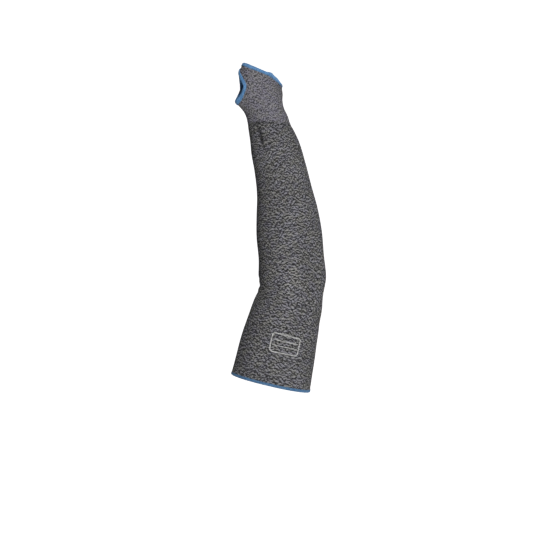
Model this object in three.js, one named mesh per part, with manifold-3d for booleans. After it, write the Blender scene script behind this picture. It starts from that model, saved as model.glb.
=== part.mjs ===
// A knitted cut resistant sleeve in the shape that a raised, slightly bent arm gives it:
// a long arm tube, a tighter hand cuff with a thumb hole, and a wrapped edging on each
// of the three openings. All pieces follow one skin, the surface of the arm inside.
//
// Millimetres, +Z up. The origin is the middle of the arm opening, which is held by the
// upper arm. The hand is at the top, the elbow points to +X, and the back of the hand
// faces -Y and +X. A place on the skin is a length s along the arm from the arm opening
// and an angle t round it from +X, where -Y is at 270 degrees.

import * as THREE from "three";
import Module from "manifold-3d";
import { mergeVertices } from "three/addons/utils/BufferGeometryUtils.js";

const wasm = await Module();
wasm.setup();

// Driving sizes of the sleeve
const SLEEVE_LENGTH = 457; // along the arm, arm opening to hand opening
const CUFF_LENGTH = 78; // the tighter knit, up to the middle of the hand opening
const TUBE_WALL = 1.8;
const CUFF_WALL = 1.6;
const KNIT_CHANGE_GAP = 0.3; // between the tube and the cuff
const HAND_SLANT = 9.5; // how far the hand opening leans towards the little finger
const CUFF_SLANT = 9.5; // how far the cuff's lower end leans the same way
const CUFF_SLANT_SIDE = 205; // degrees round the arm, where the cuff's lower end is highest
const TUBE_EASE = 0.5; // how far the looser tube stands off the arm where it meets the cuff
const TUBE_EASE_LENGTH = 20; // over which it comes to lie on the arm

// Driving sizes of the arm inside. The widths lie in the plane of the bent elbow and
// turn with the sections below.
const UPPER_ARM_WIDTH = 111.5;
const UPPER_ARM_DEPTH = 99;
const ELBOW_WIDTH = 92;
const ELBOW_DEPTH = 86;
const FOREARM_WIDTH = 91;
const FOREARM_DEPTH = 83;
const WRIST_WIDTH = 61;
const WRIST_DEPTH = 44;
const PALM_WIDTH = 87;
const PALM_DEPTH = 38;

// Driving sizes of the thumb hole
const THUMB_HOLE_LENGTH = 33.5; // along the arm's middle line
const THUMB_HOLE_WIDTH = 36;
const THUMB_STRAP = 10; // from the top of the thumb hole to the edge of the cuff
const THUMB_LIFT = 8; // how far the thumb pushes the lower end of its hole outwards
const THUMB_WEB = 3; // how far the strap over the hole sinks in between thumb and palm
const THUMB_SIDE = 198; // degrees round the arm, where the thumb comes out
const THUMB_HOLE_WIDEST = 0.58; // share of its length above the place where it is widest
const THUMB_HOLE_UPPER_SQUARE = 1.25; // 2 is half an ellipse, less has more pointed ends
const THUMB_HOLE_LOWER_SQUARE = 1.5; // the same for the part towards the wrist

// Driving sizes of the edgings
const ARM_EDGING_WIDTH = 4.5;
const HAND_EDGING_WIDTH = 5.2;
const THUMB_EDGING_WIDTH = 4.8;
const EDGING_WALL = 1; // the wrapped thread over each face of the knit
const EDGING_GAP = 0.3; // between the thread and the knit that it wraps

// How finely the curved walls are faceted
const RING_STEPS = 44;
const TUBE_ROWS = 26;
const CUFF_ROWS = 20;
const HOLE_STEPS = 36;
const PLUG_REACH = 3; // how far the thumb hole's cut goes past each face
const PLUG_SHARES = [0.35, 0.7, 1]; // the rings of the cut's ends, as shares of the hole

const TURN = 2 * Math.PI;
const rad = THREE.MathUtils.degToRad;
const SLIGHT_TURN = 0.01; // radians, the step for the direction of a curve

// The hand opening's edge round the hand, a row for each place.
// around: degrees round the arm. reach: share of the slant that the edge lies further on.
const HAND_EDGE = [
  { around: 0, reach: -0.95 },
  { around: 28, reach: -1.15 },
  { around: 90, reach: -0.42 },
  { around: 150, reach: 0.35 },
  { around: 205, reach: 0.68 },
  { around: 235, reach: 0.55 },
  { around: 269, reach: 0.27 },
  { around: 300, reach: 0.04 },
  { around: 330, reach: -0.09 },
  { around: 345, reach: -0.43 },
];
const handEdgeTable = new THREE.CubicInterpolant(
  [-360, 0, 360].flatMap((lap) => HAND_EDGE.map((row) => row.around + lap)),
  [-360, 0, 360].flatMap(() => HAND_EDGE.map((row) => row.reach)),
  1,
);
const handEnd = (t) => {
  const around = THREE.MathUtils.euclideanModulo(THREE.MathUtils.radToDeg(t), 360);
  return SLEEVE_LENGTH + HAND_SLANT * handEdgeTable.evaluate(around)[0];
};
const cuffStart = (t) =>
  SLEEVE_LENGTH - CUFF_LENGTH + CUFF_SLANT * Math.cos(t - rad(CUFF_SLANT_SIDE));
const holeTop = handEnd(rad(THUMB_SIDE)) - THUMB_STRAP;
const holeWidest = holeTop - THUMB_HOLE_WIDEST * THUMB_HOLE_LENGTH;
const holeBottom = holeTop - THUMB_HOLE_LENGTH;

const ARM = {
  upperArm: { width: UPPER_ARM_WIDTH, depth: UPPER_ARM_DEPTH },
  elbow: { width: ELBOW_WIDTH, depth: ELBOW_DEPTH },
  forearm: { width: FOREARM_WIDTH, depth: FOREARM_DEPTH },
  wrist: { width: WRIST_WIDTH, depth: WRIST_DEPTH },
  palm: { width: PALM_WIDTH, depth: PALM_DEPTH },
};

// The arm inside, a row for each section from the arm opening to the hand opening.
// at: share of the sleeve's length. lean: degrees towards the elbow's side.
// width, depth: shares of the sizes of the part that the row is of.
// turn: degrees that the section's width is turned away from the elbow's plane.
// square: 2 is an ellipse, more is squarer.
const SECTIONS = [
  { at: 0.0, lean: 13, of: "upperArm", width: 1.01, depth: 1.0, turn: 0, square: 2.1 },
  { at: 0.05, lean: 12.4, of: "upperArm", width: 0.985, depth: 0.985, turn: 0, square: 2.1 },
  { at: 0.11, lean: 12.2, of: "upperArm", width: 0.958, depth: 0.965, turn: 0, square: 2.1 },
  { at: 0.18, lean: 15, of: "upperArm", width: 0.904, depth: 0.92, turn: 0, square: 2.1 },
  { at: 0.24, lean: 12.6, of: "elbow", width: 1.055, depth: 1.03, turn: 0, square: 2.1 },
  { at: 0.29, lean: 6.2, of: "elbow", width: 0.986, depth: 1.0, turn: 0, square: 2.15 },
  { at: 0.345, lean: 2, of: "elbow", width: 1.0, depth: 1.0, turn: 2, square: 2.2 },
  { at: 0.41, lean: -3, of: "forearm", width: 0.995, depth: 1.0, turn: 6, square: 2.15 },
  { at: 0.48, lean: -5.5, of: "forearm", width: 0.996, depth: 1.0, turn: 9, square: 2.1 },
  { at: 0.55, lean: -6.8, of: "forearm", width: 0.936, depth: 0.955, turn: 14, square: 2.1 },
  { at: 0.62, lean: -9, of: "forearm", width: 0.837, depth: 0.885, turn: 20, square: 2.1 },
  { at: 0.7, lean: -12.3, of: "forearm", width: 0.784, depth: 0.79, turn: 27, square: 2.1 },
  { at: 0.76, lean: -15.5, of: "wrist", width: 1.146, depth: 1.35, turn: 34, square: 2.1 },
  { at: 0.8, lean: -17, of: "wrist", width: 1.055, depth: 1.2, turn: 38, square: 2.1 },
  { at: 0.838, lean: -16, of: "wrist", width: 0.985, depth: 1.06, turn: 42, square: 2.15 },
  { at: 0.87, lean: -15.6, of: "wrist", width: 0.96, depth: 1.0, turn: 45, square: 2.15 },
  { at: 0.9, lean: -14.3, of: "palm", width: 0.77, depth: 1.14, turn: 49, square: 2.15 },
  { at: 0.93, lean: -8.8, of: "palm", width: 0.94, depth: 1.1, turn: 52, square: 2.15 },
  { at: 0.965, lean: 1, of: "palm", width: 0.975, depth: 1.02, turn: 54, square: 2.2 },
  { at: 1.0, lean: 8, of: "palm", width: 0.96, depth: 0.95, turn: 55, square: 2.25 },
  { at: 1.02, lean: 10, of: "palm", width: 0.85, depth: 0.93, turn: 55, square: 2.25 },
  { at: 1.04, lean: 10, of: "palm", width: 0.76, depth: 0.92, turn: 55, square: 2.25 },
];
const sectionTable = new THREE.CubicInterpolant(
  SECTIONS.map((row) => row.at * SLEEVE_LENGTH),
  SECTIONS.flatMap((row) => [
    row.lean,
    row.width * ARM[row.of].width,
    row.depth * ARM[row.of].depth,
    row.turn,
    row.square,
  ]),
  5,
);
const sectionAt = (s) => {
  const [lean, width, depth, turn, square] = sectionTable.evaluate(Math.max(0, s));
  return { lean, width, depth, turn, square };
};

// Soft dents and swellings of the skin, a row for each.
// at: the length along the arm. around: degrees round it.
// along, across: half the length and half the width. rise: outwards, inwards if negative.
const DENTS = [
  // the point of the elbow
  {
    at: 0.345 * SLEEVE_LENGTH,
    around: 345,
    along: 0.2 * ELBOW_WIDTH,
    across: 0.19 * ELBOW_WIDTH,
    rise: 0.026 * ELBOW_WIDTH,
  },
  // the hollow beside it
  {
    at: 0.345 * SLEEVE_LENGTH,
    around: 305,
    along: 0.24 * ELBOW_WIDTH,
    across: 0.16 * ELBOW_WIDTH,
    rise: -0.016 * ELBOW_WIDTH,
  },
  // the kink at the inner elbow
  {
    at: 0.315 * SLEEVE_LENGTH,
    around: 180,
    along: 0.1 * ELBOW_WIDTH,
    across: 0.4 * ELBOW_WIDTH,
    rise: -0.016 * ELBOW_WIDTH,
  },
  // the pleat of the looser tube under the cuff
  {
    at: 0.79 * SLEEVE_LENGTH,
    around: 243,
    along: 0.3 * WRIST_WIDTH,
    across: 0.06 * WRIST_WIDTH,
    rise: -0.03 * WRIST_WIDTH,
  },
  // the root of the thumb, at the lower end of its hole
  {
    at: holeBottom + 0.1 * THUMB_HOLE_LENGTH,
    around: THUMB_SIDE,
    along: 0.32 * THUMB_HOLE_LENGTH,
    across: 0.4 * THUMB_HOLE_WIDTH,
    rise: THUMB_LIFT,
  },
  // the strap over the hole, in the web of the thumb
  {
    at: holeTop + 0.75 * THUMB_STRAP,
    around: THUMB_SIDE,
    along: 0.8 * THUMB_STRAP,
    across: 0.7 * THUMB_HOLE_WIDTH,
    rise: -THUMB_WEB,
  },
];

// The middle line of the arm, one point for each step along it
const SPINE_STEP = 1;
const spine = [new THREE.Vector3()];
for (let s = 0; s < 1.1 * SLEEVE_LENGTH; s += SPINE_STEP) {
  const lean = rad(sectionAt(s + SPINE_STEP / 2).lean);
  const step = new THREE.Vector3(Math.sin(lean), 0, Math.cos(lean)).multiplyScalar(SPINE_STEP);
  spine.push(spine.at(-1).clone().add(step));
}
const spineAt = (s) => {
  if (s < 0) {
    const lean = rad(sectionAt(0).lean);
    return new THREE.Vector3(Math.sin(lean), 0, Math.cos(lean)).multiplyScalar(s);
  }
  const i = Math.min(Math.floor(s / SPINE_STEP), spine.length - 2);
  return spine[i].clone().lerp(spine[i + 1], s / SPINE_STEP - i);
};

// A point of a section's outline in its own plane
const outline = (section, t) => {
  const a = t - rad(section.turn);
  const k = section.square;
  const round = (Math.abs(Math.cos(a)) ** k + Math.abs(Math.sin(a)) ** k) ** (-1 / k);
  const x = (section.width / 2) * Math.cos(a) * round;
  const y = (section.depth / 2) * Math.sin(a) * round;
  return new THREE.Vector2(x, y).rotateAround(new THREE.Vector2(), rad(section.turn));
};

// How many millimetres lie along the outline between two angles
const arcBetween = (section, from, to) => {
  const pieces = 24;
  let sum = 0;
  for (let i = 0; i < pieces; i++) {
    const a = outline(section, from + ((to - from) * i) / pieces);
    sum += a.distanceTo(outline(section, from + ((to - from) * (i + 1)) / pieces));
  }
  return sum * Math.sign(to - from);
};

// The angle that lies a distance round the outline from another
const walk = (section, from, distance) => {
  const steps = 4;
  let t = from;
  for (let i = 0; i < steps; i++) {
    const ahead = outline(section, t + SLIGHT_TURN);
    const speed = ahead.distanceTo(outline(section, t)) / SLIGHT_TURN;
    t += (distance - arcBetween(section, from, t)) / speed;
  }
  return t;
};

// A point of the arm's skin
const skin = (s, t) => {
  const section = sectionAt(s);
  const flat = outline(section, t);
  const radius = flat.length();
  let rise = 0;
  for (const dent of DENTS) {
    const turned = Math.atan2(Math.sin(t - rad(dent.around)), Math.cos(t - rad(dent.around)));
    const along = (s - dent.at) / dent.along;
    const across = (turned * radius) / dent.across;
    rise += dent.rise * Math.exp(-(along ** 2) - across ** 2);
  }
  flat.multiplyScalar((radius + rise) / radius);
  const lean = rad(section.lean);
  return spineAt(s).add(
    new THREE.Vector3(flat.x * Math.cos(lean), flat.y, -flat.x * Math.sin(lean)),
  );
};

// A point over the skin, out along its normal
const over = (s, t, out) => {
  const alongT = skin(s, t + SLIGHT_TURN).sub(skin(s, t - SLIGHT_TURN));
  const alongS = skin(s + SPINE_STEP, t).sub(skin(s - SPINE_STEP, t));
  return skin(s, t).addScaledVector(alongT.cross(alongS).normalize(), out);
};

const evenAngles = (count) => Array.from({ length: count }, (_, i) => (i * TURN) / count);
const shares = (count) => Array.from({ length: count + 1 }, (_, i) => i / count);
const ringAngles = evenAngles(RING_STEPS);
const holeAngles = evenAngles(HOLE_STEPS);

const solidOf = (points, triangles) =>
  new wasm.Manifold(
    new wasm.Mesh({
      numProp: 3,
      vertProperties: new Float32Array(points.flatMap((p) => [p.x, p.y, p.z])),
      triVerts: new Uint32Array(triangles),
    }),
  );

// The two triangles between each pair of neighbours on two rings, given by their first points
const bandTriangles = (low, high, size) =>
  Array.from({ length: size }, (_, j) => {
    const next = (j + 1) % size;
    return [low + j, low + next, high + next, low + j, high + next, high + j];
  }).flat();

// A solid whose surface is a closed band of closed rings
const ringSolid = (rings) => {
  const size = rings[0].length;
  const triangles = rings.flatMap((_, i) =>
    bandTriangles(i * size, ((i + 1) % rings.length) * size, size),
  );
  return solidOf(rings.flat(), triangles);
};

const spread = (from, to, rows) => shares(rows).map((share) => from + share * (to - from));

// A knitted wall through rings at the lengths that rowsAt gives for an angle. Its last
// ring may stand off the skin by the given ease.
const knitWall = (rowsAt, thickness, ease) => {
  const count = rowsAt(0).length;
  const wall = ringAngles.map((t) => {
    const rows = rowsAt(t);
    const lift = (s) => ease * Math.exp(-(((rows.at(-1) - s) / TUBE_EASE_LENGTH) ** 2));
    return {
      outside: rows.map((s) => over(s, t, thickness + lift(s))),
      inside: rows.map((s) => over(s, t, lift(s))),
    };
  });
  const up = Array.from({ length: count }, (_, i) => i);
  return ringSolid([
    ...up.map((i) => wall.map((strip) => strip.outside[i])),
    ...up.toReversed().map((i) => wall.map((strip) => strip.inside[i])),
  ]);
};

// The cross section of an edging that wraps the edge of a wall.
// back: from the edging's outer end back onto the knit. out: from the skin outwards.
const edgingProfile = (width, wall) => {
  const top = wall + EDGING_GAP + EDGING_WALL;
  const bottom = -EDGING_GAP - EDGING_WALL;
  const soft = EDGING_WALL / 2;
  return [
    { back: width, out: wall + EDGING_GAP },
    { back: width - soft, out: top },
    { back: 2 * soft, out: top },
    { back: soft / 2, out: top - soft },
    { back: 0, out: wall / 2 },
    { back: soft / 2, out: bottom + soft },
    { back: 2 * soft, out: bottom },
    { back: width - soft, out: bottom },
    { back: width, out: -EDGING_GAP },
    { back: EDGING_WALL, out: -EDGING_GAP },
    { back: EDGING_WALL, out: wall + EDGING_GAP },
  ];
};
const KNIT_INSET = EDGING_WALL + EDGING_GAP; // from an edging's outer end to the knit in it

// A point of the thumb hole's edge, laid flat, with the middle of its widest place at the
// origin
const holeHalf = (reach, square) => ({
  width: THUMB_HOLE_WIDTH,
  depth: 2 * reach * THUMB_HOLE_LENGTH,
  turn: 0,
  square,
});
const HOLE_ABOVE = holeHalf(THUMB_HOLE_WIDEST, THUMB_HOLE_UPPER_SQUARE);
const HOLE_BELOW = holeHalf(1 - THUMB_HOLE_WIDEST, THUMB_HOLE_LOWER_SQUARE);
const holeEdge = (turn) => outline(Math.sin(turn) > 0 ? HOLE_ABOVE : HOLE_BELOW, turn);

// A point of the thumb hole on the arm, at a share of its size and a distance outside it
const holePoint = (turn, share, grown, out) => {
  const tangent = holeEdge(turn + SLIGHT_TURN).sub(holeEdge(turn - SLIGHT_TURN)).normalize();
  const place = holeEdge(turn).multiplyScalar(share);
  place.add(new THREE.Vector2(tangent.y, -tangent.x).multiplyScalar(grown));
  const s = holeWidest + place.y;
  return over(s, walk(sectionAt(s), rad(THUMB_SIDE), place.x), out);
};

// The plug that cuts the thumb hole through the cuff
const holePlug = () => {
  const [inside, outside] = [-PLUG_REACH, CUFF_WALL + PLUG_REACH];
  const ring = (share, out) => holeAngles.map((turn) => holePoint(turn, share, 0, out));
  const rings = [
    ...PLUG_SHARES.map((share) => ring(share, inside)),
    ...PLUG_SHARES.toReversed().map((share) => ring(share, outside)),
  ];
  const points = [...rings.flat(), holePoint(0, 0, 0, inside), holePoint(0, 0, 0, outside)];
  const [insideMiddle, outsideMiddle] = [points.length - 2, points.length - 1];
  const lastRing = (rings.length - 1) * HOLE_STEPS;
  const triangles = rings.slice(1).flatMap((_, i) =>
    bandTriangles(i * HOLE_STEPS, (i + 1) * HOLE_STEPS, HOLE_STEPS),
  );
  for (let j = 0; j < HOLE_STEPS; j++) {
    const next = (j + 1) % HOLE_STEPS;
    triangles.push(j, insideMiddle, next);
    triangles.push(lastRing + j, lastRing + next, outsideMiddle);
  }
  return solidOf(points, triangles);
};

// The pieces
const armTube = () => {
  const rowsAt = (t) => [
    KNIT_INSET,
    ...spread(ARM_EDGING_WIDTH, cuffStart(t) - KNIT_CHANGE_GAP, TUBE_ROWS),
  ];
  return knitWall(rowsAt, TUBE_WALL, TUBE_EASE);
};

const handCuff = () => {
  const rowsAt = (t) => [
    ...spread(cuffStart(t), handEnd(t) - HAND_EDGING_WIDTH, CUFF_ROWS),
    handEnd(t) - KNIT_INSET,
  ];
  return knitWall(rowsAt, CUFF_WALL, 0).subtract(holePlug());
};

const armEdging = () =>
  ringSolid(
    edgingProfile(ARM_EDGING_WIDTH, TUBE_WALL)
      .toReversed()
      .map((p) => ringAngles.map((t) => over(p.back, t, p.out))),
  );

const handEdging = () =>
  ringSolid(
    edgingProfile(HAND_EDGING_WIDTH, CUFF_WALL).map((p) =>
      ringAngles.map((t) => over(handEnd(t) - p.back, t, p.out)),
    ),
  );

const thumbEdging = () =>
  ringSolid(
    edgingProfile(THUMB_EDGING_WIDTH, CUFF_WALL).map((p) =>
      holeAngles.map((turn) => holePoint(turn, 1, p.back - KNIT_INSET, p.out)),
    ),
  );

const knitDark = new THREE.MeshStandardMaterial({ color: 0x55555a, roughness: 0.95, metalness: 0 });
const knitLight = new THREE.MeshStandardMaterial({ color: 0x6b6a70, roughness: 0.95, metalness: 0 });
const threadBlue = new THREE.MeshStandardMaterial({ color: 0x2f74b5, roughness: 0.8, metalness: 0 });

const piece = (name, solid, material) => {
  const mesh = solid.getMesh();
  const geometry = new THREE.BufferGeometry();
  geometry.setAttribute("position", new THREE.BufferAttribute(mesh.vertProperties, 3));
  geometry.setIndex(new THREE.BufferAttribute(mesh.triVerts, 1));
  const made = new THREE.Mesh(mergeVertices(geometry), material);
  made.name = name;
  return made;
};

const sleeve = new THREE.Group();
sleeve.add(
  piece("arm_tube", armTube(), knitDark),
  piece("hand_cuff", handCuff(), knitLight),
  piece("arm_edging", armEdging(), threadBlue),
  piece("hand_edging", handEdging(), threadBlue),
  piece("thumb_edging", thumbEdging(), threadBlue),
);

export default sleeve;
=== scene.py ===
"""The looks of a knitted cut resistant sleeve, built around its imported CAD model.

Lengths of the sleeve are millimetres while its surfaces are worked out, and metres in
every mesh. A place on the arm's skin is a length s from the arm opening and an angle t
round the arm, from +X, as in the CAD source.
"""

from __future__ import annotations

import logging
import math
from collections.abc import Callable
from dataclasses import dataclass, field, replace
from enum import Enum

import bpy
import numpy as np
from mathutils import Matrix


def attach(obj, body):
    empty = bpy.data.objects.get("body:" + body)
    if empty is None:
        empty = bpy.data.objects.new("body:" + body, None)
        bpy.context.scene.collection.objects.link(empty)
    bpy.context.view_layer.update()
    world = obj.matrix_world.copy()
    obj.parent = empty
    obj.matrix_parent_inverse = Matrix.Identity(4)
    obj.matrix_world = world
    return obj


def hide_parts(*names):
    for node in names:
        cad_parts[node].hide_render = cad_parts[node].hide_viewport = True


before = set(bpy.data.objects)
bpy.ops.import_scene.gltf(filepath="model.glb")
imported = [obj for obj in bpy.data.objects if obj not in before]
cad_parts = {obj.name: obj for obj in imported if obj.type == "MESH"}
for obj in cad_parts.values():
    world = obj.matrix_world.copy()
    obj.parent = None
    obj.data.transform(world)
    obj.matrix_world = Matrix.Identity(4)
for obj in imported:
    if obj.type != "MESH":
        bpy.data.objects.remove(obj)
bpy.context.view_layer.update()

LOG = logging.getLogger("sleeve")
MM = 0.001
TURN = 2 * math.pi
SLIGHT_TURN = 0.01
ROOT = "root"

BLACK = (0.0, 0.0, 0.0, 1.0)
WHITE = (1.0, 1.0, 1.0, 1.0)
FIRST_COLOUR, SECOND_COLOUR, MIXED_COLOUR = 6, 7, 2
NOISE_DETAIL = 2.0
GIRTH_STEPS = 360
WALK_STEPS, WALK_TRIES = 24, 4
MERGE = 0.01 * MM
NUDGE = 1e-6

Array = np.ndarray
Piece = bpy.types.Object
Material = bpy.types.Material
Tree = bpy.types.NodeTree
Node = bpy.types.Node
Socket = bpy.types.NodeSocket
Names = tuple[str, ...]
Spot = tuple[float, float, float]
Colour = tuple[float, float, float, float]
Place = Callable[[Array, Array, Array], Array]


class Part(Enum):
    """The parts of the arm that a section takes its size from: width and depth."""

    UPPER_ARM = (111.5, 99.0)
    ELBOW = (92.0, 86.0)
    FOREARM = (91.0, 83.0)
    WRIST = (61.0, 44.0)
    PALM = (87.0, 38.0)


class Slot(Enum):
    """The record's material slots."""

    KNIT_DARK = "knit_dark"
    KNIT_LIGHT = "knit_light"
    THREAD_BLUE = "thread_blue"


def bell(x: Array) -> Array:
    """A soft bell: 1 at 0, and close to 0 beyond 2 on either side."""
    return np.exp(-(x**2))


def unit(vectors: Array) -> Array:
    """Vectors of length one, in the same directions."""
    return vectors / np.linalg.norm(vectors, axis=-1, keepdims=True)


class CurveTable:
    """A smooth curve through the rows of a table, without curvature at its ends."""

    def __init__(self, places: list[float], rows: list[list[float]]) -> None:
        """Keeps where each row stands, rising, and the values at each place."""
        self.places = np.array(places, float)
        self.rows = np.array(rows, float)

    def at(self, where: Array) -> Array:
        """Reads the curve.

        Args:
            where: places on the curve, in any shape.

        Returns:
            The values, with one more axis than where has.
        """
        places, rows, last = self.places, self.rows, len(self.places) - 1
        where = np.clip(where, places[0], places[-1])
        high = np.clip(np.searchsorted(places, where, side="right"), 1, last)
        low = high - 1
        before = np.where(low > 0, low - 1, high)
        after = np.where(high < last, high + 1, low)
        step = places[high] - places[low]
        pull_in = step / 2 / (places[low] - places[before])
        pull_out = step / 2 / (places[after] - places[high])
        p = (where - places[low]) / step
        pp, ppp = p * p, p * p * p
        shares = (
            (before, -pull_in * ppp + 2 * pull_in * pp - pull_in * p),
            (low, (1 + pull_in) * ppp - (1.5 + 2 * pull_in) * pp + (pull_in - 0.5) * p + 1),
            (high, -(1 + pull_out) * ppp + (1.5 + pull_out) * pp + 0.5 * p),
            (after, pull_out * (ppp - pp)),
        )
        return sum(rows[index] * share[..., None] for index, share in shares)


@dataclass(frozen=True)
class Dent:
    """A soft dent or swelling of the skin, in millimetres and degrees."""

    at: float
    around: float
    along: float
    across: float
    rise: float

    def rise_at(self, s: Array, t: Array, form: SleeveForm) -> Array:
        """How far it lifts the knit outwards, for lengths s and angles t."""
        radius = form.section_table.at(np.maximum(0, s))[..., 1:3].mean(-1) / 2
        return self.lift(s, t, radius)

    def lift(self, s: Array, t: Array, radius: Array) -> Array:
        """The same where the distance from the arm's middle line is known.

        Args:
            s: lengths along the arm.
            t: angles round it.
            radius: the distance from the middle line.

        Returns:
            The rise at each place.
        """
        apart = t - math.radians(self.around)
        turned = np.arctan2(np.sin(apart), np.cos(apart))
        along = (s - self.at) / self.along
        across = turned * radius / self.across
        return self.rise * bell(np.hypot(along, across))


@dataclass
class SleeveForm:
    """The skin of the arm inside, and the edges of the sleeve on it."""

    length: float = 457.0
    joint: float = 0.345
    bend: float = 0.315
    cuff_length: float = 78.0
    tube_wall: float = 1.8
    cuff_wall: float = 1.6
    hand_slant: float = 9.5
    edge_roll: float = 0.6
    edge_roll_side: float = 335
    edge_roll_spread: float = 17
    cuff_slant: float = 9.5
    cuff_slant_side: float = 205.0
    tube_ease: float = 0.5
    tube_ease_length: float = 20.0
    thumb_hole_length: float = 33.5
    thumb_hole_width: float = 36.0
    thumb_strap: float = 10.0
    thumb_lift: float = 8.0
    thumb_web: float = 3.0
    thumb_side: float = 198.0
    thumb_hole_widest: float = 0.58
    thumb_hole_upper_square: float = 1.25
    thumb_hole_lower_square: float = 1.5
    hand_edge: tuple[tuple[float, float], ...] = (
        (0, -0.95), (28, -1.15), (90, -0.42), (150, 0.35), (205, 0.68),
        (235, 0.55), (269, 0.27), (300, 0.04), (330, -0.09), (345, -0.43),
    )
    sections: tuple[tuple[Part, tuple[tuple[float, ...], ...]], ...] = (
        (Part.UPPER_ARM, (
            (0.0, 13, 1.01, 1.0, 0, 2.1), (0.05, 12.4, 0.985, 0.985, 0, 2.1),
            (0.11, 12.2, 0.958, 0.965, 0, 2.1), (0.18, 15, 0.904, 0.92, 0, 2.1),
        )),
        (Part.ELBOW, (
            (0.24, 12.6, 1.055, 1.03, 0, 2.1), (0.29, 6.2, 0.986, 1.0, 0, 2.15),
            (0.345, 2, 1.0, 1.0, 2, 2.2),
        )),
        (Part.FOREARM, (
            (0.41, -3, 0.995, 1.0, 6, 2.15), (0.48, -5.5, 0.996, 1.0, 9, 2.1),
            (0.55, -6.8, 0.936, 0.955, 14, 2.1), (0.62, -9, 0.837, 0.885, 20, 2.1),
            (0.7, -12.3, 0.784, 0.79, 27, 2.1),
        )),
        (Part.WRIST, (
            (0.76, -15.5, 1.146, 1.35, 34, 2.1), (0.8, -17, 1.055, 1.2, 38, 2.1),
            (0.838, -16, 0.985, 1.06, 42, 2.15), (0.87, -15.6, 0.96, 1.0, 45, 2.15),
        )),
        (Part.PALM, (
            (0.9, -14.3, 0.77, 1.14, 49, 2.15), (0.93, -8.8, 0.94, 1.1, 52, 2.15),
            (0.965, 1, 0.975, 1.02, 54, 2.2), (1.0, 8, 0.96, 0.95, 55, 2.25),
            (1.02, 10, 0.85, 0.93, 55, 2.25), (1.04, 10, 0.76, 0.92, 55, 2.25),
        )),
    )
    spine_step: float = 1.0

    def __post_init__(self) -> None:
        """Works out the tables that every place on the skin needs."""
        places, rows = [], []
        for part, sections in self.sections:
            for at, lean, wide, deep, turn, square in sections:
                places.append(at * self.length)
                rows.append([lean, wide * part.value[0], deep * part.value[1], turn, square])
        self.section_table = CurveTable(places, rows)
        laps = [-360, 0, 360]
        self.edge_table = CurveTable(
            [around + lap for lap in laps for around, _ in self.hand_edge],
            [[reach] for _ in laps for _, reach in self.hand_edge],
        )
        middles = np.arange(0, 1.1 * self.length, self.spine_step) + self.spine_step / 2
        lean = np.radians(self.section_table.at(middles)[:, 0])
        steps = np.stack([np.sin(lean), np.zeros_like(lean), np.cos(lean)], 1) * self.spine_step
        self.spine = np.vstack([np.zeros(3), np.cumsum(steps, 0)])
        self.hole_top = float(self.hand_end(np.radians(self.thumb_side))) - self.thumb_strap
        self.hole_place_widest = self.hole_top - self.thumb_hole_widest * self.thumb_hole_length
        elbow, wrist = Part.ELBOW.value[0], Part.WRIST.value[0]
        joint = self.joint * self.length
        hole, wide, strap = self.thumb_hole_length, self.thumb_hole_width, self.thumb_strap
        root, web, side = self.hole_top - 0.9 * hole, self.hole_top + 0.75 * strap, self.thumb_side
        self.dents = (
            Dent(joint, 345, 0.2 * elbow, 0.19 * elbow, 0.026 * elbow),
            Dent(joint, 305, 0.24 * elbow, 0.16 * elbow, -0.016 * elbow),
            Dent(self.bend * self.length, 180, 0.1 * elbow, 0.4 * elbow, -0.016 * elbow),
            Dent(0.79 * self.length, 243, 0.3 * wrist, 0.06 * wrist, -0.03 * wrist),
            Dent(root, side, 0.32 * hole, 0.4 * wide, self.thumb_lift),
            Dent(web, side, 0.8 * strap, 0.7 * wide, -self.thumb_web),
        )

    def hand_end(self, t: Array) -> Array:
        """The length at which the hand opening's edge lies, for an angle in radians."""
        around = np.degrees(t) % 360
        return self.length + self.hand_slant * self.edge_table.at(np.asarray(around))[..., 0]

    def edge_stretch(self, t: Array) -> Array:
        """How much longer the band is along the arm where the hand's edge is aslant or rolls.

        Args:
            t: angles round the arm.

        Returns:
            The share at each angle, 1 where it is no longer.
        """
        s, low, high = self.hand_end(t), t - 2 * SLIGHT_TURN, t + 2 * SLIGHT_TURN
        rise = self.hand_end(high) - self.hand_end(low)
        run = np.linalg.norm(self.skin(s, high) - self.skin(s, low), axis=-1)
        apart = np.degrees(t) - self.edge_roll_side
        turned = (apart + 180) % 360 - 180
        return np.hypot(1.0, rise / run) + self.edge_roll * bell(turned / self.edge_roll_spread)

    def cuff_start(self, t: Array) -> Array:
        """The length at which the cuff starts, for an angle in radians."""
        side = math.radians(self.cuff_slant_side)
        return self.length - self.cuff_length + self.cuff_slant * np.cos(t - side)

    def spine_at(self, s: Array) -> Array:
        """Points of the arm's middle line.

        Args:
            s: lengths along it, which may be below zero.

        Returns:
            The points, with one more axis than s has.
        """
        place = s / self.spine_step
        i = np.clip(np.floor(place).astype(int), 0, len(self.spine) - 2)
        share = (place - i)[..., None]
        return self.spine[i] * (1 - share) + self.spine[i + 1] * share

    def outline(self, section: Array, t: Array) -> Array:
        """Points of a section's outline in its own plane.

        Args:
            section: lean, width, depth, turn and squareness, on the last axis.
            t: angles round the arm.

        Returns:
            Two coordinates for each angle.
        """
        turn, k = np.radians(section[..., 3]), section[..., 4]
        a = t - turn
        round_off = (np.abs(np.cos(a)) ** k + np.abs(np.sin(a)) ** k) ** (-1 / k)
        x = section[..., 1] / 2 * np.cos(a) * round_off
        y = section[..., 2] / 2 * np.sin(a) * round_off
        cos, sin = np.cos(turn), np.sin(turn)
        return np.stack([x * cos - y * sin, x * sin + y * cos], -1)

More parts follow.
